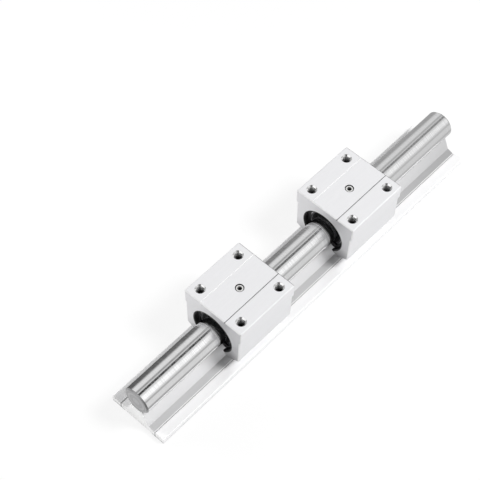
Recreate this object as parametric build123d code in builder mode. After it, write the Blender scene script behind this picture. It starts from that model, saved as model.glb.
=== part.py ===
from build123d import *
from math import cos, radians, sin, sqrt, tan
import os

# A supported round rail: a ground shaft screwed to an extruded aluminium support,
# with two open pillow blocks that slide along it on recirculating balls.
# X runs along the rail, Y across it and Z up; the origin is the middle of the base.

# Rail
rail_length = 300.0
shaft_diameter = 20.0
shaft_axis_height = 27.0
shaft_chamfer = 1.0
hole_pitch = 150.0

# Support extrusion
base_width = 45.0
flange_thickness = 5.0
flange_edge_radius = 0.6
web_foot_width = 19.6
web_foot_height = 6.5
web_toe_width = 4.7
cradle_edge_width = 9.2
cradle_clearance = 0.02
flange_hole_spacing = 30.0
flange_hole_diameter = 5.5
scribe_groove_width = 0.9
scribe_groove_depth = 0.5
base_relief_width = 24.0
base_relief_depth = 0.8

# Shaft screws
screw_diameter = 5.0
screw_length = 20.0
screw_head_diameter = 8.5
screw_head_height = 5.0
screw_hex = 4.0
screw_hex_depth = 2.5
counterbore_diameter = 9.8
counterbore_depth = 7.0
web_hole_diameter = 5.5
shaft_hole_clearance = 0.05
shaft_hole_spare = 2.5

# Pillow block housing
block_length = 50.0
block_width = 48.0
block_height = 39.0
block_top_above_axis = 23.0
block_wall_height = 11.0
block_step_depth = 1.1
block_step_drop = 1.2
block_side_taper = 0.5
block_foot_slope_width = 7.5
block_foot_slope_height = 4.0
block_edge_chamfer = 0.5
block_end_chamfer = 0.5
block_opening_angle = 67.0
block_lip_opening = 27.0
bush_diameter = 32.0
bore_chamfer = 0.5
tap_spacing_x = 35.0
tap_spacing_y = 35.0
tap_drill_diameter = 5.0
tap_depth = 12.0
tap_countersink_diameter = 7.2
tap_countersink_angle = 90.0
top_groove_spacing = 21.0
top_groove_width = 0.7
top_groove_depth = 0.5

# Where each block stands along the rail
block_places = {"front": -57.0, "rear": 49.0}

# Open ball bush
bush_end_recess = 4.0
bush_opening_angle = 60.0
fit_clearance = 0.02
sleeve_track_diameter = 26.5
sleeve_relief_diameter = 28.2
sleeve_ring_groove_width = 1.6
sleeve_ring_groove_diameter = 30.5
sleeve_ring_groove_inset = 7.3
retainer_inner_diameter = 20.7
retainer_end_inset = 3.1
retainer_floor_thickness = 0.25
ball_diameter = 3.175
ball_running_gap = 0.05
ball_side_gap = 0.06
circuit_count = 4
circuit_spacing_angle = 75.0
circuit_lane_spacing = 4.8
circuit_turn_space = 9.0
retaining_window_width = 2.8
balls_per_lane = 2

# Seals and retaining rings
seal_length = 3.0
seal_rim_width = 0.8
seal_dish_depth = 1.8
seal_body_inset = 1.0
seal_running_gap = 0.05
seal_lip_width = 0.4
seal_lip_slope = 0.6
seal_fit_gap = 0.05
ring_thickness = 1.2
ring_wall_grip = 0.7
ring_height = 1.9
ring_end_gap = 0.05
ring_opening_angle = 76.0
ring_lug_diameter = 4.4
ring_lug_hole_diameter = 1.8

# Set screw in the middle of the top
set_screw_diameter = 6.0
set_screw_length = 5.2
set_screw_recess = 0.5
set_screw_crown_chamfer = 0.6
set_screw_clearance = 0.04
set_screw_hex = 3.0
set_screw_hex_depth = 2.6
set_screw_point_diameter = 3.0
set_screw_point_length = 2.2

# How far a cut starts inside the space that it opens
cut_overrun = 1.0

# Sizes that follow from the ones above
shaft_radius = shaft_diameter / 2
bush_radius = bush_diameter / 2
block_top = shaft_axis_height + block_top_above_axis
block_bottom = block_top - block_height
screw_places = [(-hole_pitch / 2, 0), (hole_pitch / 2, 0)]
screw_seat_height = counterbore_depth
screw_tip_height = screw_seat_height + screw_length
cradle_radius = shaft_radius + cradle_clearance
cradle_edge_height = shaft_axis_height - sqrt(cradle_radius**2 - (cradle_edge_width / 2) ** 2)

os.makedirs("parts", exist_ok=True)


def v_groove(width, depth):
    """The corners of a scribed groove's section, from its left edge round to its right one."""
    return [(-width / 2, 0), (0, -depth), (width / 2, 0)]


# Shaft with blind screw holes from below
with BuildPart() as shaft:
    with BuildSketch(Plane.YZ.offset(-rail_length / 2)):
        with Locations((0, shaft_axis_height)):
            Circle(shaft_radius)
    extrude(amount=rail_length)
    chamfer(shaft.edges().filter_by(GeomType.CIRCLE), shaft_chamfer)
    with BuildSketch(Plane.XY):
        with Locations(*screw_places):
            Circle(screw_diameter / 2 + shaft_hole_clearance)
    extrude(amount=screw_tip_height + shaft_hole_spare, mode=Mode.SUBTRACT)
shaft.part.label = "shaft"
export_step(shaft.part, "parts/shaft.step")

# Support extrusion: cradle, flared web, flange with scribe grooves, screw holes
with BuildPart() as support_rail:
    with BuildSketch(Plane.YZ.offset(-rail_length / 2)) as support_profile:
        with BuildLine():
            Polyline(
                (0, 0),
                (base_width / 2, 0),
                (base_width / 2, flange_thickness),
                (web_foot_width / 2 + web_toe_width, flange_thickness),
                (web_foot_width / 2, web_foot_height),
                (cradle_edge_width / 2, cradle_edge_height),
                (0, cradle_edge_height),
                (0, 0),
            )
        make_face()
        mirror(about=Plane.YZ)
        flange_ends = support_profile.vertices().group_by(Axis.X)
        fillet(flange_ends[0] + flange_ends[-1], flange_edge_radius)
        with Locations((0, shaft_axis_height)):
            Circle(cradle_radius, mode=Mode.SUBTRACT)
        with Locations((0, base_relief_depth / 2)):
            Rectangle(base_relief_width, base_relief_depth, mode=Mode.SUBTRACT)
        with Locations((0, flange_thickness)):
            with GridLocations(flange_hole_spacing, 0, 2, 1):
                Polygon(
                    *v_groove(scribe_groove_width, scribe_groove_depth), align=None, mode=Mode.SUBTRACT
                )
    extrude(amount=rail_length)
    with BuildSketch(Plane.XY):
        with GridLocations(hole_pitch, flange_hole_spacing, 2, 2):
            Circle(flange_hole_diameter / 2)
        with Locations(*screw_places):
            Circle(web_hole_diameter / 2)
    extrude(amount=shaft_axis_height, mode=Mode.SUBTRACT)
    with BuildSketch(Plane.XY):
        with Locations(*screw_places):
            Circle(counterbore_diameter / 2)
    extrude(amount=counterbore_depth, mode=Mode.SUBTRACT)
support_rail.part.label = "support_rail"
export_step(support_rail.part, "parts/support_rail.step")

# Socket head screws that hold the shaft down from below
with BuildPart() as shaft_screws:
    with BuildSketch(Plane.XY.offset(screw_seat_height - screw_head_height)):
        with Locations(*screw_places):
            Circle(screw_head_diameter / 2)
    extrude(amount=screw_head_height)
    with BuildSketch(Plane.XY.offset(screw_seat_height)):
        with Locations(*screw_places):
            Circle(screw_diameter / 2)
    extrude(amount=screw_length)
    with BuildSketch(Plane.XY.offset(screw_seat_height - screw_head_height)):
        with Locations(*screw_places):
            RegularPolygon(screw_hex / 2, 6, major_radius=False)
    extrude(amount=screw_hex_depth, mode=Mode.SUBTRACT)
shaft_screws.part.label = "shaft_screws"
export_step(shaft_screws.part, "parts/shaft_screws.step")

# Sizes inside the blocks
bush_length = block_length - 2 * bush_end_recess
bush_half = bush_length / 2
retainer_length = bush_length - 2 * retainer_end_inset
retainer_half = retainer_length / 2
lane_length = bush_length - 2 * circuit_turn_space
lane_half = lane_length / 2
opening_reach = 2 * bush_radius
sleeve_radius = bush_radius - fit_clearance
track_radius = sleeve_track_diameter / 2
retainer_inner_radius = retainer_inner_diameter / 2
retainer_outer_radius = track_radius - fit_clearance
channel_floor_height = retainer_inner_radius + retainer_floor_thickness
ball_radius = ball_diameter / 2
ball_circle_radius = shaft_radius + ball_running_gap + ball_radius
ball_height = sqrt(ball_circle_radius**2 - (circuit_lane_spacing / 2) ** 2)
return_ball_height = channel_floor_height + ball_side_gap + ball_radius
ball_pitch = lane_length / (balls_per_lane - 1)
channel_width = ball_diameter + 2 * ball_side_gap
circuit_angles = [circuit_spacing_angle * (i - (circuit_count - 1) / 2) for i in range(circuit_count)]
seal_back = bush_half - seal_length
seal_lip_face = bush_half - seal_dish_depth
seal_lip_radius = shaft_radius + seal_running_gap
seal_inner_radius = seal_lip_radius + seal_body_inset
seal_body_radius = track_radius - seal_fit_gap
ring_start = bush_half + ring_end_gap
ring_groove_width = ring_thickness + 2 * ring_end_gap
ring_groove_radius = bush_radius + ring_wall_grip
ring_outer_radius = ring_groove_radius - ring_end_gap
ring_inner_radius = ring_outer_radius - ring_height - ring_wall_grip
ring_lug_circle = ring_outer_radius - ring_wall_grip - ring_end_gap - ring_lug_diameter / 2
set_screw_radius = set_screw_diameter / 2
set_screw_top = block_top - set_screw_recess
set_screw_foot = set_screw_top - set_screw_length


def sector(angle, reach):
    """The corners of the wedge that points down from the shaft's axis."""
    side = reach * tan(radians(angle / 2))
    return [(0, 0), (side, -reach), (-side, -reach)]


def bush_opening(block_x, half_length):
    """The wedge that the open pieces leave free under the shaft."""
    with BuildSketch(Plane.YZ.offset(block_x - half_length)) as opening:
        with Locations((0, shaft_axis_height)):
            Polygon(*sector(bush_opening_angle, opening_reach), align=None)
    return opening.sketch


def housing_profile(start):
    """The housing's section across the rail, open at the bottom, with bevelled lips."""
    wall_top_y = block_width / 2
    wall_low_y = wall_top_y - block_step_depth
    wall_step_z = block_top - block_wall_height
    foot_y = wall_low_y - block_side_taper
    lip_y = bush_radius * sin(radians(block_opening_angle / 2))
    lip_z = shaft_axis_height - bush_radius * cos(radians(block_opening_angle / 2))
    with BuildSketch(Plane.YZ.offset(start)) as profile:
        with BuildLine():
            Polyline(
                (0, block_top),
                (wall_top_y - block_edge_chamfer, block_top),
                (wall_top_y, block_top - block_edge_chamfer),
                (wall_top_y, wall_step_z),
                (wall_low_y, wall_step_z - block_step_drop),
                (foot_y, block_bottom + block_foot_slope_height),
                (foot_y - block_foot_slope_width, block_bottom),
                (block_lip_opening / 2, block_bottom),
                (lip_y, lip_z),
                (0, shaft_axis_height),
                (0, block_top),
            )
        make_face()
        mirror(about=Plane.YZ)
        with Locations((0, shaft_axis_height)):
            Circle(bush_radius, mode=Mode.SUBTRACT)
    return profile.sketch


def turned_profile(points, block_x):
    """A closed outline of (distance along the shaft, radius) points, to turn about its axis."""
    plane = Plane(origin=(block_x, 0, shaft_axis_height), x_dir=(1, 0, 0), z_dir=(0, -1, 0))
    with BuildSketch(plane) as profile:
        with BuildLine():
            Polyline(*points, close=True)
        make_face()
    return profile.sketch


def band(start, end, inner_radius, outer_radius):
    """The corners of a straight-sided band between two radii."""
    return [(start, inner_radius), (end, inner_radius), (end, outer_radius), (start, outer_radius)]


def circuit_plane(block_x, angle, height):
    """The plane across a ball circuit, at a height above the shaft's axis."""
    outward = Vector(0, sin(radians(angle)), cos(radians(angle)))
    centre = Vector(block_x, 0, shaft_axis_height) + outward * height
    return Plane(origin=centre, x_dir=(1, 0, 0), z_dir=outward)


def load_lane(angle):
    """How far the load-carrying lane, the one nearer the top, lies to the side of its circuit."""
    return circuit_lane_spacing / 2 if angle > 0 else -circuit_lane_spacing / 2


def return_lane_place(angle):
    """Where a returning ball's centre lies, across the rail, from the shaft's axis."""
    turn = radians(angle)
    return (
        return_ball_height * sin(turn) + load_lane(angle) * cos(turn),
        return_ball_height * cos(turn) - load_lane(angle) * sin(turn),
    )


for side, block_x in block_places.items():
    axis = Axis((block_x, 0, shaft_axis_height), (1, 0, 0))

    # Housing: extruded section with broken edges, bored, grooved for the rings, drilled and countersunk
    with BuildPart() as housing:
        extrude(housing_profile(block_x - block_length / 2), amount=block_length)
        end_faces = housing.faces().filter_by(Axis.X)
        chamfer(end_faces.edges().filter_by(GeomType.LINE), block_end_chamfer)
        with BuildSketch(Plane.YZ.offset(block_x - block_length / 2)):
            with Locations((0, block_top)):
                with GridLocations(top_groove_spacing, 0, 2, 1):
                    Polygon(*v_groove(top_groove_width, top_groove_depth), align=None)
        extrude(amount=block_length, mode=Mode.SUBTRACT)
        for direction in (-1, 1):
            groove_start = direction * ring_start - direction * ring_end_gap
            groove_end = groove_start + direction * ring_groove_width
            groove = band(groove_start, groove_end, bush_radius - cut_overrun, ring_groove_radius)
            revolve(turned_profile(groove, block_x), axis=axis, mode=Mode.SUBTRACT)
            mouth = direction * block_length / 2
            mouth_start = mouth - direction * bore_chamfer
            mouth_cut = [
                (mouth_start, bush_radius),
                (mouth, bush_radius + bore_chamfer),
                (mouth, bush_radius - cut_overrun),
                (mouth_start, bush_radius - cut_overrun),
            ]
            revolve(turned_profile(mouth_cut, block_x), axis=axis, mode=Mode.SUBTRACT)
        with Locations((block_x, 0, block_top)):
            with GridLocations(tap_spacing_x, tap_spacing_y, 2, 2):
                CounterSinkHole(
                    tap_drill_diameter / 2, tap_countersink_diameter / 2, tap_depth, tap_countersink_angle
                )
        with BuildSketch(Plane.XY.offset(block_top)):
            with Locations((block_x, 0)):
                Circle(set_screw_radius + set_screw_clearance)
        extrude(amount=-block_top_above_axis, mode=Mode.SUBTRACT)
    housing.part.label = f"{side}_housing"
    export_step(housing.part, f"parts/{side}_housing.step")

    # Hardened sleeve: return lanes and turning spaces in its bore, ring grooves outside
    with BuildPart() as bearing_sleeve:
        shell = band(-bush_half, bush_half, track_radius, sleeve_radius)
        revolve(turned_profile(shell, block_x), axis=axis)
        for direction in (-1, 1):
            near = direction * (bush_half - sleeve_ring_groove_inset)
            far = near - direction * sleeve_ring_groove_width
            groove = band(near, far, sleeve_ring_groove_diameter / 2, sleeve_radius + cut_overrun)
            revolve(turned_profile(groove, block_x), axis=axis, mode=Mode.SUBTRACT)
            relief = band(
                direction * lane_half,
                direction * retainer_half,
                track_radius - cut_overrun,
                sleeve_relief_diameter / 2,
            )
            revolve(turned_profile(relief, block_x), axis=axis, mode=Mode.SUBTRACT)
        extrude(bush_opening(block_x, bush_half), amount=bush_length, mode=Mode.SUBTRACT)
        with BuildSketch(Plane.YZ.offset(block_x - lane_half)):
            with Locations((0, shaft_axis_height)):
                with Locations(*[return_lane_place(angle) for angle in circuit_angles]):
                    Circle(channel_width / 2)
        extrude(amount=lane_length, mode=Mode.SUBTRACT)
        with BuildSketch(Plane.XY.offset(shaft_axis_height + track_radius - cut_overrun)):
            with Locations((block_x, 0)):
                Circle(set_screw_point_diameter / 2 + set_screw_clearance)
        extrude(amount=bush_radius, mode=Mode.SUBTRACT)
    bearing_sleeve.part.label = f"{side}_bearing_sleeve"
    export_step(bearing_sleeve.part, f"parts/{side}_bearing_sleeve.step")

    # Plastic retainer: racetrack channels for the ball circuits, windows over the shaft
    with BuildPart() as ball_retainer:
        tube = band(-retainer_half, retainer_half, retainer_inner_radius, retainer_outer_radius)
        revolve(turned_profile(tube, block_x), axis=axis)
        extrude(bush_opening(block_x, retainer_half), amount=retainer_length, mode=Mode.SUBTRACT)
        for angle in circuit_angles:
            turn_length = lane_length + circuit_lane_spacing
            with BuildSketch(circuit_plane(block_x, angle, channel_floor_height)):
                SlotOverall(turn_length + channel_width, circuit_lane_spacing + channel_width)
                SlotOverall(
                    turn_length - channel_width, circuit_lane_spacing - channel_width, mode=Mode.SUBTRACT
                )
            extrude(amount=bush_radius, mode=Mode.SUBTRACT)
            with BuildSketch(circuit_plane(block_x, angle, 0)):
                with Locations((0, load_lane(angle))):
                    Rectangle(lane_length + retaining_window_width, retaining_window_width)
            extrude(amount=ball_circle_radius, mode=Mode.SUBTRACT)
    ball_retainer.part.label = f"{side}_ball_retainer"
    export_step(ball_retainer.part, f"parts/{side}_ball_retainer.step")

    # Balls in the load-carrying lanes
    with BuildPart() as bearing_balls:
        for angle in circuit_angles:
            with Locations(circuit_plane(block_x, angle, ball_height)):
                with Locations((0, load_lane(angle), 0)):
                    with GridLocations(ball_pitch, 0, balls_per_lane, 1):
                        Sphere(ball_radius)
    bearing_balls.part.label = f"{side}_bearing_balls"
    export_step(bearing_balls.part, f"parts/{side}_bearing_balls.step")

    # Dished rubber wiper seal inside, and open retaining ring against, each end of the bush
    for end, direction in {"near": -1, "far": 1}.items():
        seal_section = [
            (seal_back, seal_inner_radius),
            (seal_lip_face - seal_lip_width - seal_lip_slope, seal_inner_radius),
            (seal_lip_face - seal_lip_width, seal_lip_radius),
            (seal_lip_face, seal_lip_radius),
            (bush_half, seal_body_radius - seal_rim_width),
            (bush_half, seal_body_radius),
            (seal_back, seal_body_radius),
        ]
        with BuildPart() as seal:
            revolve(turned_profile([(direction * x, r) for x, r in seal_section], block_x), axis=axis)
            extrude(bush_opening(block_x, block_length / 2), amount=block_length, mode=Mode.SUBTRACT)
        seal.part.label = f"{side}_{end}_seal"
        export_step(seal.part, f"parts/{side}_{end}_seal.step")

        with BuildPart() as retaining_ring:
            with BuildSketch(Plane.YZ.offset(block_x + direction * ring_start)):
                with Locations((0, shaft_axis_height)):
                    Circle(ring_outer_radius)
                    Circle(ring_inner_radius, mode=Mode.SUBTRACT)
                    Polygon(
                        *sector(ring_opening_angle, opening_reach), align=None, mode=Mode.SUBTRACT
                    )
                    with PolarLocations(
                        ring_lug_circle,
                        2,
                        start_angle=ring_opening_angle / 2 - 90,
                        angular_range=-2 * ring_opening_angle,
                    ):
                        Circle(ring_lug_diameter / 2)
                        Circle(ring_lug_hole_diameter / 2, mode=Mode.SUBTRACT)
            extrude(amount=direction * ring_thickness)
        retaining_ring.part.label = f"{side}_{end}_retaining_ring"
        export_step(retaining_ring.part, f"parts/{side}_{end}_retaining_ring.step")

    # Hexagon socket set screw whose point seats in the sleeve
    with BuildPart() as set_screw:
        with BuildSketch(Plane.XY.offset(set_screw_foot)):
            with Locations((block_x, 0)):
                Circle(set_screw_radius)
        extrude(amount=set_screw_length)
        crown_edge = set_screw.edges().sort_by(Axis.Z)[-1]
        chamfer(crown_edge, set_screw_crown_chamfer)
        with BuildSketch(Plane.XY.offset(set_screw_top)):
            with Locations((block_x, 0)):
                RegularPolygon(set_screw_hex / 2, 6, major_radius=False)
        extrude(amount=-set_screw_hex_depth, mode=Mode.SUBTRACT)
        with BuildSketch(Plane.XY.offset(set_screw_foot)):
            with Locations((block_x, 0)):
                Circle(set_screw_point_diameter / 2)
        extrude(amount=-set_screw_point_length)
    set_screw.part.label = f"{side}_set_screw"
    export_step(set_screw.part, f"parts/{side}_set_screw.step")
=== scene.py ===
"""A supported round rail with two open pillow blocks, finished for a studio photograph.

Metres, in the part's own frame: X along the rail, Y across it, Z up, the base at Z = 0.
"""
import math

import bpy
from mathutils import Matrix, Vector


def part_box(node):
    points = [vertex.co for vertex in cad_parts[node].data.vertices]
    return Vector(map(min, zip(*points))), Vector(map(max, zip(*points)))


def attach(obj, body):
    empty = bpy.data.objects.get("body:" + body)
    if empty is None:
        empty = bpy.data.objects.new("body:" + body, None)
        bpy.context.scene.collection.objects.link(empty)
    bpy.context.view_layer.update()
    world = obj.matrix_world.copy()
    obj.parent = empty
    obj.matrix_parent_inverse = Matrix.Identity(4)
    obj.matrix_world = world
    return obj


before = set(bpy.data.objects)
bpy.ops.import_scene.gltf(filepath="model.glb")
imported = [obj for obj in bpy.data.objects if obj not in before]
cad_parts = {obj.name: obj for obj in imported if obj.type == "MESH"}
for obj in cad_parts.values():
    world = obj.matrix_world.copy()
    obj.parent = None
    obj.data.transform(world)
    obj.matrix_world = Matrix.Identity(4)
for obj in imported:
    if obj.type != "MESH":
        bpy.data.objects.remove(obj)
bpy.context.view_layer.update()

MM = 0.001
SIDES = ("front", "rear")
ENDS = ("near", "far")

# Camera: where it stands, where it looks and which way is up in the picture
CAMERA_PLACE = Vector((-0.41234, -0.31999, 0.80968))
CAMERA_LOOK = Vector((0.41638, 0.37547, -0.82804))
CAMERA_UP = Vector((0.60285, 0.56773, 0.56058))
CAMERA_SIDE = CAMERA_LOOK.cross(CAMERA_UP).normalized()
CAMERA_LENS = 107.41
CAMERA_SENSOR = 36.0
CAMERA_NEAREST = 0.01
CAMERA_FARTHEST = 20.0

# Light on the object: a plain sky, a soft lamp over the near side and a weak one low in front
SKY_LEVEL = 0.34
KEY_PLACE = Vector((0.40, -0.65, 1.10))
KEY_SIZE = 0.4
KEY_POWER = 16.5
FILL_PLACE = Vector((-0.30, 0.45, 0.22))
FILL_SIZE = 0.2
FILL_POWER = 1.3

# Floor: its reach, how far it lies under the base, its tone and how white the camera sees it
FLOOR_REACH = 3.0
FLOOR_DROP = 0.1 * MM
FLOOR_TONE = 0.9
FLOOR_WHITENING = 0.83

# Studio that the metal reflects, as strips along the rail: the angle of a strip's middle from
# straight up towards the near side, its half width, its soft edge, in degrees, and its level
STUDIO_LEVEL = 0.72
STUDIO_STRIPS = {
    "card beyond the rail": (-112, 30, 24, 0.11),
    "softbox beyond the rail": (-44, 6, 14, 0.78),
    "seam between softboxes": (-21, 3, 9, 0.30),
    "gap over the rail": (2, 5, 7, 0.0),
    "softbox on the near side": (41, 9, 15, 1.12),
    "seam of the near softbox": (76, 2, 8, 0.40),
    "foot of the near wall": (138, 3, 16, 0.36),
}

# The studio's other parts. Each span gives where a part starts and where it is full, as the
# share of a direction that points along the rail, upward or to the side of the picture
HAZE_ALONG = (0.34, 0.52)
HAZE_LEVEL = 0.55
HAZE_AMOUNT = 0.6
FRONT_ALONG = (0.15, -0.05)
FRONT_LEVEL = 0.6
GROUND_ALONG = (0.0, -0.2)
GROUND_UPWARD = (-0.3, -0.5)
WINDOW_ALONG = (-0.5, -0.65)
WINDOW_UPWARD = (0.2, 0.3)
WINDOW_LEVEL = 1.0
GAP_ALONG = (-0.3, -0.45)
GAP_SIDEWARD = (0.3, 0.1)
FAR_WALL_ALONG = (0.8, 0.9)
CEILING_ALONG = (-0.1, -0.25)
CEILING_END = (-0.6, -0.5)
CEILING_UPWARD = (0.0, 0.2)
CEILING_AMOUNT = 0.6
DARK_LEVEL = 0.02

# Colours, as they are to look in plain light
WHITE = (1.0, 1.0, 1.0)
BLACK = (0.0, 0.0, 0.0)
ANODISED = (0.85, 0.85, 0.865)
EXTRUSION = (0.98, 0.98, 0.99)
# Worn edges of the anodised parts, lightened further as a painted highlight
WORN_EDGE_HIGHLIGHT = (0.98, 0.98, 0.985)
CHROME = (0.93, 0.93, 0.935)
CUT_STEEL = (0.41, 0.41, 0.415)
BEARING_STEEL = (0.55, 0.55, 0.56)
ZINC = (0.88, 0.88, 0.87)
# Black oxide steel, also the colour of the painted shade on the set screws
BLACK_OXIDE_AND_SHADE = (0.01, 0.01, 0.011)
RUBBER_BLACK = (0.004, 0.004, 0.0045)
# Black of the painted shade in the blocks' bores, holes, grooves and set screw gaps
SHADE_BLACK = (0.003, 0.003, 0.003)
PLASTIC_BLACK = (0.03, 0.03, 0.032)

# Soft border of a mask, and the axis that the turning rings run round
MASK_BORDER = 0.1 * MM
SHAFT_AXIS = (0.0, 0.0, 27 * MM)

# Anodised aluminium: its drawn lines, its clouds, its worn edges with a painted highlight and its sheen
ANODISED_CONTRAST = 1.6
ANODISED_LINE_TONES = (0.96, 1.03)
ANODISED_CLOUD_SIZE = 30 * MM
ANODISED_CLOUD_AMOUNT = 0.25
ANODISED_CLOUD_TONE = 0.97
ANODISED_EDGE_RADIUS = 0.35 * MM
WORN_EDGE_AMOUNT = 0.6
LINE_ROUGHNESS = 0.12
HOUSING_LINES = (260.0, 2600.0, 2600.0)
HOUSING_LINE_BUMP = 0.006 * MM
HOUSING_ROUGHNESS = 0.34
HOUSING_END_TONE = 0.92
SIDE_METALLIC = 0.3
END_METALLIC = 0.55
SUPPORT_LINES = (60.0, 2200.0, 2200.0)
SUPPORT_LINE_BUMP = 0.008 * MM
SUPPORT_ROUGHNESS = 0.28
SUPPORT_END_TONE = 1.1
SUPPORT_METALLIC = 0.2

# Support: the painted shade bands of its web and its toes, which grow darker towards the far end,
# the painted shade in the scribed line of each flange and the shade at the foot of the flange
WEB_HALF_WIDTH = 9.8 * MM
WEB_BORDER = 0.2 * MM
WEB_SHADE_TONE = 0.76
TOE_MIDDLE = 12.1 * MM
TOE_HALF_WIDTH = 2.1 * MM
TOE_BORDER = 0.3 * MM
TOE_SHADE_TONE = 0.54
FAR_TOE_EASE = 0.85
FIRST_FAR_SHADE = {"low": -90 * MM, "high": 50 * MM, "to_high": 0.08}
SECOND_FAR_SHADE = {"low": 60 * MM, "high": 150 * MM, "to_high": 0.2}
SCRIBE_PLACE = 15 * MM
SCRIBE_HALF_WIDTH = 0.35 * MM
SCRIBE_TOP = 4.95 * MM
SCRIBE_DEPTH = 0.3 * MM
SCRIBE_SHADE_TONE = 0.3
FLANGE_FOOT_TOP = 1.3 * MM
FLANGE_FOOT_DEPTH = 0.4 * MM
FLANGE_FOOT_SHADE = {"low": -90 * MM, "high": -30 * MM, "to_low": 0.45, "to_high": 0.1}

# Blocks: their middles along the rail, their tops, the painted shade in their bores, the painted
# highlights and shade on the broken edges of their tops, the shade at the foot of their ends, and
# the painted shade and highlight in the two grooves along each top
BLOCK_MIDDLES = (-57 * MM, 49 * MM)
BLOCK_TOP = 50 * MM
BORE_REACH = 16.8 * MM
BORE_SHADE = 0.98
BROKEN_EDGE_PLACE = 23.75 * MM
BROKEN_EDGE_HALF_WIDTH = 0.3 * MM
BROKEN_EDGE_FOOT = 49.5 * MM
SIDE_EDGE_HIGHLIGHT = 0.4
FAR_EDGE_SHADE_TONE = 0.3
FOOT_SHADE_TOP = 24 * MM
FOOT_SHADE_DEPTH = 11 * MM
FOOT_SHADE_ACROSS = {"low": 0.0, "high": -18 * MM, "to_low": 0.4, "to_high": 1.0}
FOOT_SHADE_TONE = 0.4
GROOVE_PLACE = 10.5 * MM
GROOVE_HALF_WIDTH = 0.4 * MM
GROOVE_TOP = 49.95 * MM
GROOVE_FOOT = 49.4 * MM
GROOVE_FADE = 0.2 * MM
GROOVE_SHADE = 0.8
GROOVE_HIGHLIGHT = 0.9

# Tapped holes: their countersinks, their threads and the painted shade in them
COUNTERSINK_RADIUS = 3.6 * MM
COUNTERSINK_FOOT = 48.9 * MM
COUNTERSINK_FADE = 0.05 * MM
COUNTERSINK_ROUGHNESS = 0.14
TAP_RADIUS = 2.5 * MM
TAP_PITCH = 1.0 * MM
TAP_CREST = 0.2 * MM
TAP_HALF_RIDGE = 0.42
TAP_SPACING = 35 * MM
TAP_SIDES = (-0.5, 0.5)
TAP_TOP = 48.45 * MM
TAP_FOOT = 38.6 * MM
TAP_FLOOR = 34 * MM
TAP_FLOOR_FADE = 0.5 * MM
TAP_STEPS = 28
TAP_SHADE_DEPTH = 6 * MM
TAP_SHADE_CURVE = 0.8

# Set screws: painted shade in the gap round them, at their edge and in their hexagon socket
SCREW_GAP = (3.2 * MM, 3.1 * MM)
SCREW_EDGE = (2.3 * MM, 2.5 * MM)
SCREW_EDGE_SHADE = 0.85
SOCKET_TOP = 49.4 * MM
SOCKET_DEPTH = 2.6 * MM

# Shaft: ground lines round it, faint clouds on its side and turning rings on its turned ends
SHAFT_LINES = (1500.0, 0.0, 0.0)
SHAFT_CONTRAST = 1.2
SHAFT_DARK_LINE = 0.985
SHAFT_LINE_BUMP = 0.2 * MM
SHAFT_CLOUD_SIZE = 25 * MM
SHAFT_ROUGHNESS = 0.055
SHAFT_CLOUD_ROUGHNESS = 0.02
SHAFT_END_SLOPE = 0.5
SHAFT_END_ROUGHNESS = 0.36
SHAFT_RING_PITCH = 1.4 * MM
SHAFT_RING_SPAN = (0.38, 0.62)
SHAFT_RING_BUMP = 0.02 * MM
SHAFT_RING_TONES = (0.85, 1.15)

# Small steel pieces: their turning lines, the clouds on them and their worn edges
STEEL_CONTRAST = 2.0
STEEL_LINE_TONES = (0.85, 1.15)
STEEL_LINE_BUMP = 0.01 * MM
STEEL_CLOUD_SIZE = 4 * MM
STEEL_CLOUD_ROUGHNESS = 0.1
STEEL_EDGE_RADIUS = 0.15 * MM
WORN_STEEL_GAIN = 1.3
WORN_STEEL_LIFT = 0.03
BLACK_STEEL_METALLIC = 0.3
ZINC_LINES = (2000.0, 2000.0, 2000.0)
ZINC_LINE_TONES = (0.9, 1.1)
ZINC_METALLIC = 0.5
ZINC_ROUGHNESS = 0.3
ZINC_LINE_ROUGHNESS = 0.1

# Seals and cages: their grain and their moulding rings
GRAIN_TONES = (0.7, 1.5)
GRAIN_ROUGHNESS = 0.15
MOULDING_RING_PITCH = 0.8 * MM
MOULDING_RING_SPAN = (0.48, 0.58)


def add_node(tree, kind, inputs=None, **settings):
    """A shader node with its settings, its inputs set to values or joined to sockets."""
    node = tree.nodes.new(kind)
    for name, value in settings.items():
        setattr(node, name, value)
    for name, value in (inputs or {}).items():
        if isinstance(value, bpy.types.NodeSocket):
            tree.links.new(value, node.inputs[name])
        else:
            node.inputs[name].default_value = value
    return node


def calculate(tree, operation, *values, clamp=False):
    """The result of one Math node."""
    inputs = dict(enumerate(values))
    return add_node(tree, "ShaderNodeMath", inputs, operation=operation, use_clamp=clamp).outputs[0]


def product(tree, *values):
    """Several masks or values multiplied."""
    result = values[0]
    for value in values[1:]:
        result = calculate(tree, "MULTIPLY", result, value)
    return result


def strongest(tree, *masks):
    """The largest of several masks."""
    result = masks[0]
    for mask in masks[1:]:
        result = calculate(tree, "MAXIMUM", result, mask)
    return result


def cut_away(tree, mask, taken):
    """A mask without another one."""
    return calculate(tree, "SUBTRACT", mask, taken, clamp=True)


def remap(tree, value, low, high, to_low=0.0, to_high=1.0, smooth=True):
    """A value taken from one span to another, with soft ends."""
    inputs = {"Value": value, "From Min": low, "From Max": high, "To Min": to_low, "To Max": to_high}
    kind = "SMOOTHSTEP" if smooth else "LINEAR"
    return add_node(tree, "ShaderNodeMapRange", inputs, interpolation_type=kind).outputs["Result"]


def mix_colours(tree, amount, first, second):
    """The first colour where amount is 0 and the second where it is 1."""
    node = add_node(tree, "ShaderNodeMix", data_type="RGBA")
    for socket, value in zip((node.inputs[0], node.inputs[6], node.inputs[7]), (amount, first, second)):
        if isinstance(value, bpy.types.NodeSocket):
            tree.links.new(value, socket)
        elif isinstance(value, (int, float)):
            socket.default_value = value
        else:
            socket.default_value = (*value, 1.0)
    return node.outputs[2]


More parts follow.
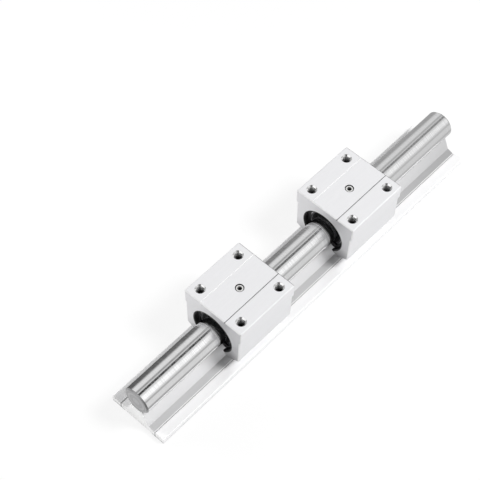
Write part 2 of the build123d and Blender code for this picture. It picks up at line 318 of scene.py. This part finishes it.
def scaled(colour, amount):
    """A colour made lighter or darker."""
    return tuple(min(channel * amount, 1.0) for channel in colour)


def grey(level):
    """A grey of one level."""
    return (level, level, level)


def object_place(tree):
    """The place on the part."""
    return add_node(tree, "ShaderNodeTexCoord").outputs["Object"]


def object_axes(tree):
    """The place on the part, one axis at a time: X along the rail, Y across it and Z up."""
    return add_node(tree, "ShaderNodeSeparateXYZ", {0: object_place(tree)}).outputs


def vector(tree, operation, *values):
    """The outputs of one Vector Math node."""
    return add_node(tree, "ShaderNodeVectorMath", dict(enumerate(values)), operation=operation).outputs


def noise(tree, place, scale, detail):
    """Soft noise over a place."""
    inputs = {"Vector": place, "Scale": scale, "Detail": detail}
    return add_node(tree, "ShaderNodeTexNoise", inputs).outputs[0]


def start_group(name, inputs, outputs):
    """A shader node group with its sockets, and its input and output nodes."""
    group = bpy.data.node_groups.new(name, "ShaderNodeTree")
    for label, (kind, value) in inputs.items():
        socket = group.interface.new_socket(label, in_out="INPUT", socket_type=kind)
        if value is not None:
            socket.default_value = value
    for label, kind in outputs.items():
        group.interface.new_socket(label, in_out="OUTPUT", socket_type=kind)
    return group, group.nodes.new("NodeGroupInput").outputs, group.nodes.new("NodeGroupOutput").inputs


def use_group(tree, group, **inputs):
    """A group placed in a material, with its own values. An underscore stands for a space."""
    labelled = {name.replace("_", " "): value for name, value in inputs.items()}
    return add_node(tree, "ShaderNodeGroup", node_tree=group, inputs=labelled).outputs


def make_drawn_lines():
    """Fine lines along one axis, as drawing, grinding or milling leaves them."""
    fine_share, wide_share, wide_scale = 0.6, 0.4, 0.23
    group, given, put = start_group(
        "drawn lines",
        {
            "Scale": ("NodeSocketVector", (1.0, 1.0, 1.0)),
            "Contrast": ("NodeSocketFloat", 1.0),
        },
        {"Lines": "NodeSocketFloat"},
    )
    drawn = vector(group, "MULTIPLY", object_place(group), given["Scale"])[0]
    fine = noise(group, drawn, 1.0, detail=3.0)
    wide = noise(group, drawn, wide_scale, detail=1.0)
    both = calculate(group, "ADD", product(group, fine, fine_share), product(group, wide, wide_share))
    spread = product(group, calculate(group, "SUBTRACT", both, 0.5), given["Contrast"])
    group.links.new(calculate(group, "ADD", spread, 0.5, clamp=True), put["Lines"])
    return group


def make_handling():
    """Soft clouds, as anodising, wiping and oily hands leave them."""
    clear, cloudy = 0.35, 0.65
    group, given, put = start_group(
        "handling", {"Size": ("NodeSocketFloat", 20 * MM)}, {"Clouds": "NodeSocketFloat"}
    )
    frequency = calculate(group, "DIVIDE", 1.0, given["Size"])
    clouds = noise(group, object_place(group), frequency, detail=4.0)
    group.links.new(remap(group, clouds, clear, cloudy), put["Clouds"])
    return group


def make_cut_end():
    """Where a face looks along the rail, its broken edge, its rings and how far it is from an axis."""
    slant_starts, slant_ends = (0.5, 0.6), (0.9, 0.8)
    slope_border = 0.05
    group, given, put = start_group(
        "cut end",
        {
            "Axis": ("NodeSocketVector", SHAFT_AXIS),
            "Ring pitch": ("NodeSocketFloat", 0.6 * MM),
            "Least slope": ("NodeSocketFloat", 0.93),
        },
        {
            "End": "NodeSocketFloat",
            "Broken edge": "NodeSocketFloat",
            "Far side": "NodeSocketFloat",
            "Rings": "NodeSocketFloat",
            "Radius": "NodeSocketFloat",
        },
    )
    coordinates = add_node(group, "ShaderNodeTexCoord").outputs
    normal = add_node(group, "ShaderNodeSeparateXYZ", {0: coordinates["Normal"]}).outputs
    along = calculate(group, "ABSOLUTE", normal["X"])
    full = calculate(group, "ADD", given["Least slope"], slope_border)
    group.links.new(remap(group, along, given["Least slope"], full), put["End"])
    slanted = product(group, remap(group, along, *slant_starts), remap(group, along, *slant_ends))
    group.links.new(slanted, put["Broken edge"])
    group.links.new(calculate(group, "GREATER_THAN", normal["X"], 0.0), put["Far side"])
    offset = vector(group, "SUBTRACT", coordinates["Object"], given["Axis"])[0]
    across = vector(group, "MULTIPLY", offset, (0.0, 1.0, 1.0))[0]
    radius = vector(group, "LENGTH", across)["Value"]
    group.links.new(radius, put["Radius"])
    turns = calculate(group, "DIVIDE", radius, given["Ring pitch"])
    inputs = {"W": turns, "Scale": 1.0, "Detail": 2.0}
    rings = add_node(group, "ShaderNodeTexNoise", inputs, noise_dimensions="1D").outputs[0]
    group.links.new(rings, put["Rings"])
    return group


def make_sunk_part():
    """Where a face lies lower than a level: full at the given depth."""
    group, given, put = start_group(
        "sunk part",
        {"Level": ("NodeSocketFloat", BLOCK_TOP), "Depth": ("NodeSocketFloat", 1.0 * MM)},
        {"Sunk": "NodeSocketFloat"},
    )
    height = object_axes(group)["Z"]
    foot = calculate(group, "SUBTRACT", given["Level"], given["Depth"])
    group.links.new(remap(group, height, given["Level"], foot, smooth=False), put["Sunk"])
    return group


def make_hole_distance():
    """The distance from the axis of the nearest hole of a square pattern on either block."""
    group, given, put = start_group(
        "hole distance",
        {"Half spacing": ("NodeSocketFloat", TAP_SPACING / 2)},
        {"Distance": "NodeSocketFloat"},
    )
    axes = object_axes(group)
    gaps = []
    for middle in BLOCK_MIDDLES:
        off_middle = calculate(group, "ABSOLUTE", calculate(group, "SUBTRACT", axes["X"], middle))
        off_hole = calculate(group, "SUBTRACT", off_middle, given["Half spacing"])
        gaps.append(calculate(group, "ABSOLUTE", off_hole))
    along = calculate(group, "MINIMUM", *gaps)
    off_axis = calculate(group, "ABSOLUTE", axes["Y"])
    across = calculate(group, "SUBTRACT", off_axis, given["Half spacing"])
    offset = add_node(group, "ShaderNodeCombineXYZ", {0: along, 1: across}).outputs[0]
    group.links.new(vector(group, "LENGTH", offset)["Value"], put["Distance"])
    return group


def make_long_band():
    """A band of faces along the rail, the same on both sides or on one side only."""
    group, given, put = start_group(
        "long band",
        {
            "Across": ("NodeSocketFloat", 10 * MM),
            "Half width": ("NodeSocketFloat", 1 * MM),
            "Border": ("NodeSocketFloat", MASK_BORDER),
            "Both sides": ("NodeSocketFloat", 1.0),
        },
        {"Band": "NodeSocketFloat"},
    )
    across = object_axes(group)["Y"]
    mirrored = calculate(group, "ABSOLUTE", across)
    difference = calculate(group, "SUBTRACT", mirrored, across)
    used = calculate(group, "MULTIPLY_ADD", difference, given["Both sides"], across)
    away = calculate(group, "ABSOLUTE", calculate(group, "SUBTRACT", used, given["Across"]))
    outer = calculate(group, "ADD", given["Half width"], given["Border"])
    group.links.new(remap(group, away, outer, given["Half width"]), put["Band"])
    return group


def make_soft_edge():
    """Normals that turn round every sharp edge, and a mask of those edges, for wear and painted
    highlights.
    """
    flat_turn, edge_turn = 0.995, 0.85
    group, given, put = start_group(
        "soft edge",
        {"Radius": ("NodeSocketFloat", 0.3 * MM), "Normal": ("NodeSocketVector", None)},
        {"Normal": "NodeSocketVector", "Edge": "NodeSocketFloat"},
    )
    inputs = {"Radius": given["Radius"], "Normal": given["Normal"]}
    rounded = add_node(group, "ShaderNodeBevel", inputs, samples=6).outputs[0]
    flat = add_node(group, "ShaderNodeNewGeometry").outputs["Normal"]
    turn = vector(group, "DOT_PRODUCT", rounded, flat)["Value"]
    group.links.new(remap(group, turn, flat_turn, edge_turn), put["Edge"])
    group.links.new(rounded, put["Normal"])
    return group


DRAWN_LINES = make_drawn_lines()
HANDLING = make_handling()
CUT_END = make_cut_end()
SUNK_PART = make_sunk_part()
HOLE_DISTANCE = make_hole_distance()
LONG_BAND = make_long_band()
SOFT_EDGE = make_soft_edge()


def sunk(tree, level, depth):
    """A mask of what lies lower than a level, full at the given depth."""
    return use_group(tree, SUNK_PART, Level=level, Depth=depth)["Sunk"]


def long_band(tree, across, half_width, border=MASK_BORDER, both_sides=1.0):
    """A mask of a band along the rail."""
    inputs = {"Across": across, "Half_width": half_width, "Border": border, "Both_sides": both_sides}
    return use_group(tree, LONG_BAND, **inputs)["Band"]


def start_material(name, **shader_values):
    """A material with a Principled shader whose plain values are set on it."""
    material = bpy.data.materials.new(name)
    material.use_nodes = True
    tree = material.node_tree
    shader = tree.nodes["Principled BSDF"]
    for label, value in shader_values.items():
        shader.inputs[label.replace("_", " ")].default_value = value
    return material, tree, shader


def join_shader(tree, shader, colour, roughness, normal):
    """Colour, roughness and normal led into a shader."""
    tree.links.new(colour, shader.inputs["Base Color"])
    tree.links.new(roughness, shader.inputs["Roughness"])
    tree.links.new(normal, shader.inputs["Normal"])


def bump(tree, height, distance, normal=None):
    """The normal of a surface whose height changes by a distance in metres."""
    inputs = {"Height": height, "Distance": distance}
    if normal is not None:
        inputs["Normal"] = normal
    return add_node(tree, "ShaderNodeBump", inputs).outputs["Normal"]


def roughen(tree, roughness, pattern, amount):
    """A roughness that rises where a pattern is strong."""
    return calculate(tree, "ADD", roughness, product(tree, pattern, amount))


def start_anodised(name, colour, end_tone, line_scale, **shader_values):
    """Clear anodised aluminium: its tree, shader, lines and ends, and its tone with its clouds."""
    material, tree, shader = start_material(name, **shader_values)
    lines = use_group(tree, DRAWN_LINES, Scale=line_scale, Contrast=ANODISED_CONTRAST)["Lines"]
    clouds = use_group(tree, HANDLING, Size=ANODISED_CLOUD_SIZE)["Clouds"]
    ends = use_group(tree, CUT_END)
    dark_line, bright_line = ANODISED_LINE_TONES
    tone = mix_colours(tree, lines, scaled(colour, dark_line), scaled(colour, bright_line))
    cloudy = product(tree, clouds, ANODISED_CLOUD_AMOUNT)
    tone = mix_colours(tree, cloudy, tone, scaled(colour, ANODISED_CLOUD_TONE))
    tone = mix_colours(tree, ends["End"], tone, scaled(colour, end_tone))
    return material, tree, shader, lines, ends, tone


def finish_anodised(tree, shader, lines, tone, line_bump, roughness, painted_shade=0.0):
    """Bright worn edges with a painted highlight, painted shade over them where it lies, and a satin
    face on anodised aluminium.
    """
    soft = use_group(tree, SOFT_EDGE, Radius=ANODISED_EDGE_RADIUS, Normal=bump(tree, lines, line_bump))
    # Worn edges lightened, partly as a painted highlight, then painted shade laid over them
    tone = mix_colours(tree, product(tree, soft["Edge"], WORN_EDGE_AMOUNT), tone, WORN_EDGE_HIGHLIGHT)
    tone = mix_colours(tree, painted_shade, tone, SHADE_BLACK)
    join_shader(tree, shader, tone, roughen(tree, roughness, lines, LINE_ROUGHNESS), soft["Normal"])


def housing_material():
    """The blocks: painted highlights on the broken edges, painted shade in the bores and holes, bright
    countersinks, and painted shade and highlight in the grooves.
    """
    material, tree, shader, lines, ends, tone = start_anodised(
        "anodised housing", ANODISED, HOUSING_END_TONE, HOUSING_LINES
    )
    # Painted shade on the wall of the bore
    in_bore = remap(tree, ends["Radius"], BORE_REACH + MASK_BORDER, BORE_REACH)

    # Painted shade at the foot of the ends, deeper on the near side, painted highlights on the broken
    # edges of the top and painted shade on those of the far ends
    foot_shade = remap(tree, object_axes(tree)["Y"], **FOOT_SHADE_ACROSS)
    foot = product(tree, sunk(tree, FOOT_SHADE_TOP, FOOT_SHADE_DEPTH), foot_shade, ends["End"])
    tone = mix_colours(tree, foot, tone, scaled(ANODISED, FOOT_SHADE_TONE))
    # Painted highlight on the broken edges of the ends and along the top's sides
    end_edge = cut_away(tree, ends["Broken edge"], in_bore)
    below_edge = sunk(tree, BROKEN_EDGE_FOOT, MASK_BORDER)
    side_edge = cut_away(tree, long_band(tree, BROKEN_EDGE_PLACE, BROKEN_EDGE_HALF_WIDTH), below_edge)
    edge_highlight = strongest(tree, end_edge, product(tree, side_edge, SIDE_EDGE_HIGHLIGHT))
    tone = mix_colours(tree, edge_highlight, tone, WHITE)
    # Painted shade on the broken edges of the far ends
    far_edge_shade = product(tree, end_edge, ends["Far side"])
    tone = mix_colours(tree, far_edge_shade, tone, scaled(ANODISED, FAR_EDGE_SHADE_TONE))

    # The grooves of the top: painted shade in the near one, a painted highlight in the far one
    under_top = sunk(tree, GROOVE_TOP, GROOVE_FADE)
    in_groove = cut_away(tree, under_top, sunk(tree, GROOVE_FOOT, GROOVE_FADE))
    near_groove = long_band(tree, -GROOVE_PLACE, GROOVE_HALF_WIDTH, both_sides=0.0)
    far_groove = long_band(tree, GROOVE_PLACE, GROOVE_HALF_WIDTH, both_sides=0.0)
    groove_shade = product(tree, near_groove, in_groove, GROOVE_SHADE)
    tone = mix_colours(tree, product(tree, far_groove, in_groove, GROOVE_HIGHLIGHT), tone, WHITE)

    # The tapped holes: bright countersinks, and painted shade that deepens down the threads
    tap_distance = use_group(tree, HOLE_DISTANCE, Half_spacing=TAP_SPACING / 2)["Distance"]
    in_tap = remap(tree, tap_distance, COUNTERSINK_RADIUS + MASK_BORDER, COUNTERSINK_RADIUS)
    in_tap = cut_away(tree, in_tap, sunk(tree, TAP_FLOOR, TAP_FLOOR_FADE))
    cone = product(tree, in_tap, sunk(tree, BLOCK_TOP, COUNTERSINK_FADE))
    tone = mix_colours(tree, cone, tone, WHITE)
    hole_depth = calculate(tree, "POWER", sunk(tree, COUNTERSINK_FOOT, TAP_SHADE_DEPTH), TAP_SHADE_CURVE)
    hole_shade = product(tree, in_tap, hole_depth)
    # Painted shade in the gap round the set screw, joined with the other painted shade
    screw_distance = use_group(tree, HOLE_DISTANCE, Half_spacing=0.0)["Distance"]
    screw_gap_shade = product(tree, remap(tree, screw_distance, *SCREW_GAP), under_top)
    painted_shade = strongest(tree, product(tree, in_bore, BORE_SHADE), groove_shade, hole_shade, screw_gap_shade)

    metallic = calculate(tree, "MULTIPLY_ADD", ends["End"], END_METALLIC - SIDE_METALLIC, SIDE_METALLIC)
    tree.links.new(strongest(tree, metallic, cone, end_edge), shader.inputs["Metallic"])
    roughness = remap(tree, cone, 0.0, 1.0, HOUSING_ROUGHNESS, COUNTERSINK_ROUGHNESS)
    finish_anodised(tree, shader, lines, tone, HOUSING_LINE_BUMP, roughness, painted_shade)
    return material


def extrusion_material():
    """The support: drawn lines, and painted shade on the web and toes, in the scribed lines and at the
    foot of each flange.
    """
    material, tree, shader, lines, ends, tone = start_anodised(
        "anodised extrusion", EXTRUSION, SUPPORT_END_TONE, SUPPORT_LINES, Metallic=SUPPORT_METALLIC
    )
    axes = object_axes(tree)
    drawn = calculate(tree, "SUBTRACT", 1.0, ends["End"])
    # Painted shade on the web
    web = product(tree, long_band(tree, 0.0, WEB_HALF_WIDTH, WEB_BORDER), drawn)
    tone = mix_colours(tree, web, tone, scaled(EXTRUSION, WEB_SHADE_TONE))
    # Painted shade on the toes, eased on the far side of the rail
    far_ease = remap(tree, axes["Y"], 0.0, 1 * MM, 1.0, 1.0 - FAR_TOE_EASE)
    toe = product(tree, long_band(tree, TOE_MIDDLE, TOE_HALF_WIDTH, TOE_BORDER), drawn, far_ease)
    tone = mix_colours(tree, toe, tone, scaled(EXTRUSION, TOE_SHADE_TONE))
    # Painted shade that darkens the web and toes towards the far end
    first = remap(tree, axes["X"], **FIRST_FAR_SHADE)
    second = remap(tree, axes["X"], **SECOND_FAR_SHADE)
    far_shade = product(tree, strongest(tree, web, toe), calculate(tree, "ADD", first, second))
    tone = mix_colours(tree, far_shade, tone, BLACK)
    # Painted shade in the scribed line of each flange
    scribed = long_band(tree, SCRIBE_PLACE, SCRIBE_HALF_WIDTH)
    scribe_shade = product(tree, scribed, sunk(tree, SCRIBE_TOP, SCRIBE_DEPTH))
    tone = mix_colours(tree, scribe_shade, tone, scaled(EXTRUSION, SCRIBE_SHADE_TONE))
    foot_shade = remap(tree, axes["X"], **FLANGE_FOOT_SHADE)
    foot = product(tree, sunk(tree, FLANGE_FOOT_TOP, FLANGE_FOOT_DEPTH), foot_shade)
    tone = mix_colours(tree, foot, tone, BLACK)
    finish_anodised(tree, shader, lines, tone, SUPPORT_LINE_BUMP, SUPPORT_ROUGHNESS)
    return material


def set_screw_material():
    """Zinc plated set screw: a bright ring between painted shade at its outer edge and in its hexagon.
    """
    material, tree, shader = start_material("zinc plated screw steel", Metallic=ZINC_METALLIC)
    lines = use_group(tree, DRAWN_LINES, Scale=ZINC_LINES, Contrast=STEEL_CONTRAST)["Lines"]
    distance = use_group(tree, HOLE_DISTANCE, Half_spacing=0.0)["Distance"]
    dark_line, bright_line = ZINC_LINE_TONES
    tone = mix_colours(tree, lines, scaled(ZINC, dark_line), scaled(ZINC, bright_line))
    # Painted shade at the screw's outer edge and in its hexagon socket
    edge_shade = product(tree, remap(tree, distance, *SCREW_EDGE), SCREW_EDGE_SHADE)
    painted_shade = strongest(tree, edge_shade, sunk(tree, SOCKET_TOP, SOCKET_DEPTH))
    tone = mix_colours(tree, painted_shade, tone, BLACK_OXIDE_AND_SHADE)
    rough = roughen(tree, ZINC_ROUGHNESS, lines, ZINC_LINE_ROUGHNESS)
    join_shader(tree, shader, tone, rough, bump(tree, lines, STEEL_LINE_BUMP))
    return material


def shaft_material():
    """Ground and chromed steel, with plain turned ends."""
    material, tree, shader = start_material("ground shaft steel", Metallic=1.0)
    lines = use_group(tree, DRAWN_LINES, Scale=SHAFT_LINES, Contrast=SHAFT_CONTRAST)["Lines"]
    clouds = use_group(tree, HANDLING, Size=SHAFT_CLOUD_SIZE)["Clouds"]
    ends = use_group(tree, CUT_END, Ring_pitch=SHAFT_RING_PITCH, Least_slope=SHAFT_END_SLOPE)
    rings = remap(tree, ends["Rings"], *SHAFT_RING_SPAN)
    dark_ring, bright_ring = SHAFT_RING_TONES
    ring_tone = mix_colours(tree, rings, scaled(CUT_STEEL, dark_ring), scaled(CUT_STEEL, bright_ring))
    side_tone = mix_colours(tree, lines, scaled(CHROME, SHAFT_DARK_LINE), CHROME)
    tone = mix_colours(tree, ends["End"], side_tone, ring_tone)
    side_rough = roughen(tree, SHAFT_ROUGHNESS, clouds, SHAFT_CLOUD_ROUGHNESS)
    rough = roughen(tree, side_rough, ends["End"], SHAFT_END_ROUGHNESS)
    normal = bump(tree, product(tree, ends["Rings"], ends["End"]), SHAFT_RING_BUMP)
    normal = bump(tree, lines, SHAFT_LINE_BUMP, normal)
    join_shader(tree, shader, tone, rough, normal)
    return material


def steel_material(name, colour, roughness, line_scale, metallic=1.0):
    """Plain or black finished steel with fine turning lines and bright edges."""
    material, tree, shader = start_material(name, Metallic=metallic)
    lines = use_group(tree, DRAWN_LINES, Scale=line_scale, Contrast=STEEL_CONTRAST)["Lines"]
    clouds = use_group(tree, HANDLING, Size=STEEL_CLOUD_SIZE)["Clouds"]
    dark_line, bright_line = STEEL_LINE_TONES
    tone = mix_colours(tree, lines, scaled(colour, dark_line), scaled(colour, bright_line))
    normal = bump(tree, lines, STEEL_LINE_BUMP)
    soft = use_group(tree, SOFT_EDGE, Radius=STEEL_EDGE_RADIUS, Normal=normal)
    worn = tuple(min(channel * WORN_STEEL_GAIN + WORN_STEEL_LIFT, 1.0) for channel in colour)
    tone = mix_colours(tree, product(tree, soft["Edge"], WORN_EDGE_AMOUNT), tone, worn)
    rough = roughen(tree, roughness, clouds, STEEL_CLOUD_ROUGHNESS)
    join_shader(tree, shader, tone, rough, soft["Normal"])
    return material


def moulded_material(name, colour, roughness, shine, grain_scale, grain_bump, ring_tone):
    """Moulded rubber or plastic with a fine grain and faint moulding rings."""
    material, tree, shader = start_material(name, Metallic=0.0, Specular_IOR_Level=shine)
    grain = noise(tree, object_place(tree), grain_scale, detail=3.0)
    ends = use_group(tree, CUT_END, Ring_pitch=MOULDING_RING_PITCH)
    height = calculate(tree, "ADD", grain, product(tree, ends["Rings"], ends["End"]))
    dark_grain, bright_grain = GRAIN_TONES
    tone = mix_colours(tree, grain, scaled(colour, dark_grain), scaled(colour, bright_grain))
    rings = product(tree, remap(tree, ends["Rings"], *MOULDING_RING_SPAN), ends["End"])
    tone = mix_colours(tree, rings, tone, scaled(colour, ring_tone))
    rough = roughen(tree, roughness, grain, GRAIN_ROUGHNESS)
    join_shader(tree, shader, tone, rough, bump(tree, height, grain_bump))
    return material


def make_camera():
    """The camera that took the photograph, found from the standard sizes of the blocks."""
    data = bpy.data.cameras.new("camera")
    data.lens = CAMERA_LENS
    data.sensor_width = CAMERA_SENSOR
    data.clip_start = CAMERA_NEAREST
    data.clip_end = CAMERA_FARTHEST
    camera = bpy.data.objects.new("camera", data)
    bpy.context.scene.collection.objects.link(camera)
    up = CAMERA_SIDE.cross(CAMERA_LOOK).normalized()
    turn = Matrix((CAMERA_SIDE, up, -CAMERA_LOOK.normalized())).transposed()
    camera.matrix_world = Matrix.Translation(CAMERA_PLACE) @ turn.to_4x4()
    bpy.context.scene.camera = camera


def make_studio():
    """White behind the object, a plain sky on it, and the studio's parts in its metal."""
    world = bpy.data.worlds.new("studio")
    world.use_nodes = True
    bpy.context.scene.world = world
    tree = world.node_tree
    direction = add_node(tree, "ShaderNodeTexCoord").outputs["Generated"]
    axes = add_node(tree, "ShaderNodeSeparateXYZ", {0: direction}).outputs
    along, upward = axes["X"], axes["Z"]
    nearward = product(tree, axes["Y"], -1.0)
    sideward = product(tree, along, CAMERA_SIDE.x)
    sideward = calculate(tree, "MULTIPLY_ADD", axes["Y"], CAMERA_SIDE.y, sideward)

    # Strips along the rail
    angle = calculate(tree, "DEGREES", calculate(tree, "ARCTAN2", nearward, upward))
    level = grey(STUDIO_LEVEL)
    for middle, half_width, edge, strip_level in STUDIO_STRIPS.values():
        away = calculate(tree, "ABSOLUTE", calculate(tree, "SUBTRACT", angle, float(middle)))
        inside = remap(tree, away, float(half_width + edge), float(half_width))
        level = mix_colours(tree, inside, level, grey(strip_level))

    # Haze over the far part, then what the ends, their edges and the holes look at
    haze = remap(tree, along, *HAZE_ALONG, 0.0, HAZE_AMOUNT)
    level = mix_colours(tree, haze, level, grey(HAZE_LEVEL))
    level = mix_colours(tree, remap(tree, along, *FRONT_ALONG), level, grey(FRONT_LEVEL))
    ground = product(tree, remap(tree, along, *GROUND_ALONG), remap(tree, upward, *GROUND_UPWARD))
    level = mix_colours(tree, ground, level, WHITE)
    window = product(tree, remap(tree, along, *WINDOW_ALONG), remap(tree, upward, *WINDOW_UPWARD))
    level = mix_colours(tree, window, level, grey(WINDOW_LEVEL))
    aside = remap(tree, calculate(tree, "ABSOLUTE", sideward), *GAP_SIDEWARD)
    gap = product(tree, aside, remap(tree, along, *GAP_ALONG))
    ceiling = product(tree, remap(tree, along, *CEILING_ALONG), remap(tree, along, *CEILING_END))
    ceiling = product(tree, ceiling, remap(tree, upward, *CEILING_UPWARD, 0.0, CEILING_AMOUNT))
    dark = strongest(tree, gap, remap(tree, along, *FAR_WALL_ALONG), ceiling)
    level = mix_colours(tree, dark, level, grey(DARK_LEVEL))

    rays = add_node(tree, "ShaderNodeLightPath").outputs
    seen = mix_colours(tree, rays["Is Glossy Ray"], grey(SKY_LEVEL), level)
    seen = mix_colours(tree, rays["Is Camera Ray"], seen, WHITE)
    tree.links.new(seen, tree.nodes["Background"].inputs["Color"])


def make_floor():
    """A white floor that keeps a faint shadow, and that polished metal looks through."""
    mesh = bpy.data.meshes.new("floor")
    corners = [(x * FLOOR_REACH, y * FLOOR_REACH, 0) for x, y in ((-1, -1), (1, -1), (1, 1), (-1, 1))]
    mesh.from_pydata(corners, [], [(0, 1, 2, 3)])
    floor = bpy.data.objects.new("floor", mesh)
    bpy.context.scene.collection.objects.link(floor)
    floor.location.z = -FLOOR_DROP
    material = bpy.data.materials.new("white floor")
    material.use_nodes = True
    tree = material.node_tree
    tree.nodes.remove(tree.nodes["Principled BSDF"])
    matt = add_node(tree, "ShaderNodeBsdfDiffuse", {"Color": (*grey(FLOOR_TONE), 1.0)}).outputs[0]
    glow = add_node(tree, "ShaderNodeEmission", {"Color": (*WHITE, 1.0), "Strength": 1.0}).outputs[0]
    clear = add_node(tree, "ShaderNodeBsdfTransparent").outputs[0]
    rays = add_node(tree, "ShaderNodeLightPath").outputs
    whiten = product(tree, rays["Is Camera Ray"], FLOOR_WHITENING)
    seen = add_node(tree, "ShaderNodeMixShader", {0: whiten, 1: matt, 2: glow}).outputs[0]
    inputs = {0: rays["Is Glossy Ray"], 1: seen, 2: clear}
    surface = add_node(tree, "ShaderNodeMixShader", inputs).outputs[0]
    tree.links.new(surface, tree.nodes["Material Output"].inputs["Surface"])
    mesh.materials.append(material)


def make_lamp(name, place, size, power):
    """A soft square lamp that looks at the object and stays out of the metal's reflections."""
    data = bpy.data.lights.new(name, "AREA")
    data.shape = "SQUARE"
    data.size = size
    data.energy = power
    lamp = bpy.data.objects.new(name, data)
    bpy.context.scene.collection.objects.link(lamp)
    lamp.location = place
    lamp.rotation_mode = "QUATERNION"
    lamp.rotation_quaternion = (-place).to_track_quat("-Z", "Y")
    lamp.visible_glossy = False


def make_thread(name, centre, body, material):
    """The thread ridges of a tapped hole: one three-sided ridge wound down its wall."""
    turns = (TAP_TOP - TAP_FOOT) / TAP_PITCH
    count = int(turns * TAP_STEPS)
    ridge = [(0.0, TAP_HALF_RIDGE), (-TAP_CREST, 0.0), (0.0, -TAP_HALF_RIDGE)]
    points = []
    for step in range(count + 1):
        angle = 2 * math.pi * step / TAP_STEPS
        for inward, rise in ridge:
            radius = TAP_RADIUS + inward
            height = TAP_TOP - TAP_PITCH * (step / TAP_STEPS - rise)
            across, along = radius * math.sin(angle), radius * math.cos(angle)
            points.append((centre.x + along, centre.y + across, height))
    faces = [(0, 1, 2), (3 * count + 2, 3 * count + 1, 3 * count)]
    for step in range(count):
        for corner in range(3):
            following = (corner + 1) % 3
            first, second = 3 * step + corner, 3 * step + following
            faces.append((second, first, first + 3, second + 3))
    mesh = bpy.data.meshes.new(name)
    mesh.from_pydata(points, [], faces)
    mesh.materials.append(material)
    thread = bpy.data.objects.new(name, mesh)
    bpy.context.scene.collection.objects.link(thread)
    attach(thread, body)


def dress(node_name, material):
    """A CAD node takes its finish."""
    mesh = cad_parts[node_name].data
    mesh.materials.clear()
    mesh.materials.append(material)


housing_finish = housing_material()
extrusion_finish = extrusion_material()
shaft_finish = shaft_material()
zinc_finish = set_screw_material()
sleeve_finish = steel_material(
    "hardened bearing steel", BEARING_STEEL, roughness=0.25, line_scale=(3000.0, 300.0, 300.0)
)
ball_finish = steel_material(
    "polished ball steel", CHROME, roughness=0.06, line_scale=(900.0, 900.0, 900.0)
)
ring_finish = steel_material(
    "black spring steel", BLACK_OXIDE_AND_SHADE, roughness=0.38, line_scale=(2500.0, 900.0, 900.0),
    metallic=BLACK_STEEL_METALLIC
)
screw_finish = steel_material(
    "black screw steel", BLACK_OXIDE_AND_SHADE, roughness=0.42, line_scale=(1200.0, 1200.0, 2500.0),
    metallic=BLACK_STEEL_METALLIC
)
seal_finish = moulded_material(
    "seal rubber", RUBBER_BLACK, roughness=0.40, shine=0.2, grain_scale=2200.0,
    grain_bump=0.02 * MM, ring_tone=45.0
)
cage_finish = moulded_material(
    "retainer plastic", PLASTIC_BLACK, roughness=0.45, shine=0.4, grain_scale=3000.0,
    grain_bump=0.01 * MM, ring_tone=4.0
)

dress("shaft", shaft_finish)
dress("support_rail", extrusion_finish)
dress("shaft_screws", screw_finish)
for side in SIDES:
    dress(f"{side}_housing", housing_finish)
    dress(f"{side}_bearing_sleeve", sleeve_finish)
    dress(f"{side}_ball_retainer", cage_finish)
    dress(f"{side}_bearing_balls", ball_finish)
    dress(f"{side}_set_screw", zinc_finish)
    for end in ENDS:
        dress(f"{side}_{end}_seal", seal_finish)
        dress(f"{side}_{end}_retaining_ring", ring_finish)
    low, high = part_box(f"{side}_housing")
    middle = (low + high) / 2
    for column, along in enumerate(TAP_SIDES):
        for row, across in enumerate(TAP_SIDES):
            centre = Vector((middle.x + along * TAP_SPACING, middle.y + across * TAP_SPACING, 0.0))
            name = f"{side}_tap_thread_{2 * column + row + 1}"
            make_thread(name, centre, f"{side}_block", housing_finish)

make_camera()
make_studio()
make_floor()
make_lamp("key light", KEY_PLACE, KEY_SIZE, KEY_POWER)
make_lamp("fill light", FILL_PLACE, FILL_SIZE, FILL_POWER)

bpy.context.scene.view_settings.view_transform = "Standard"
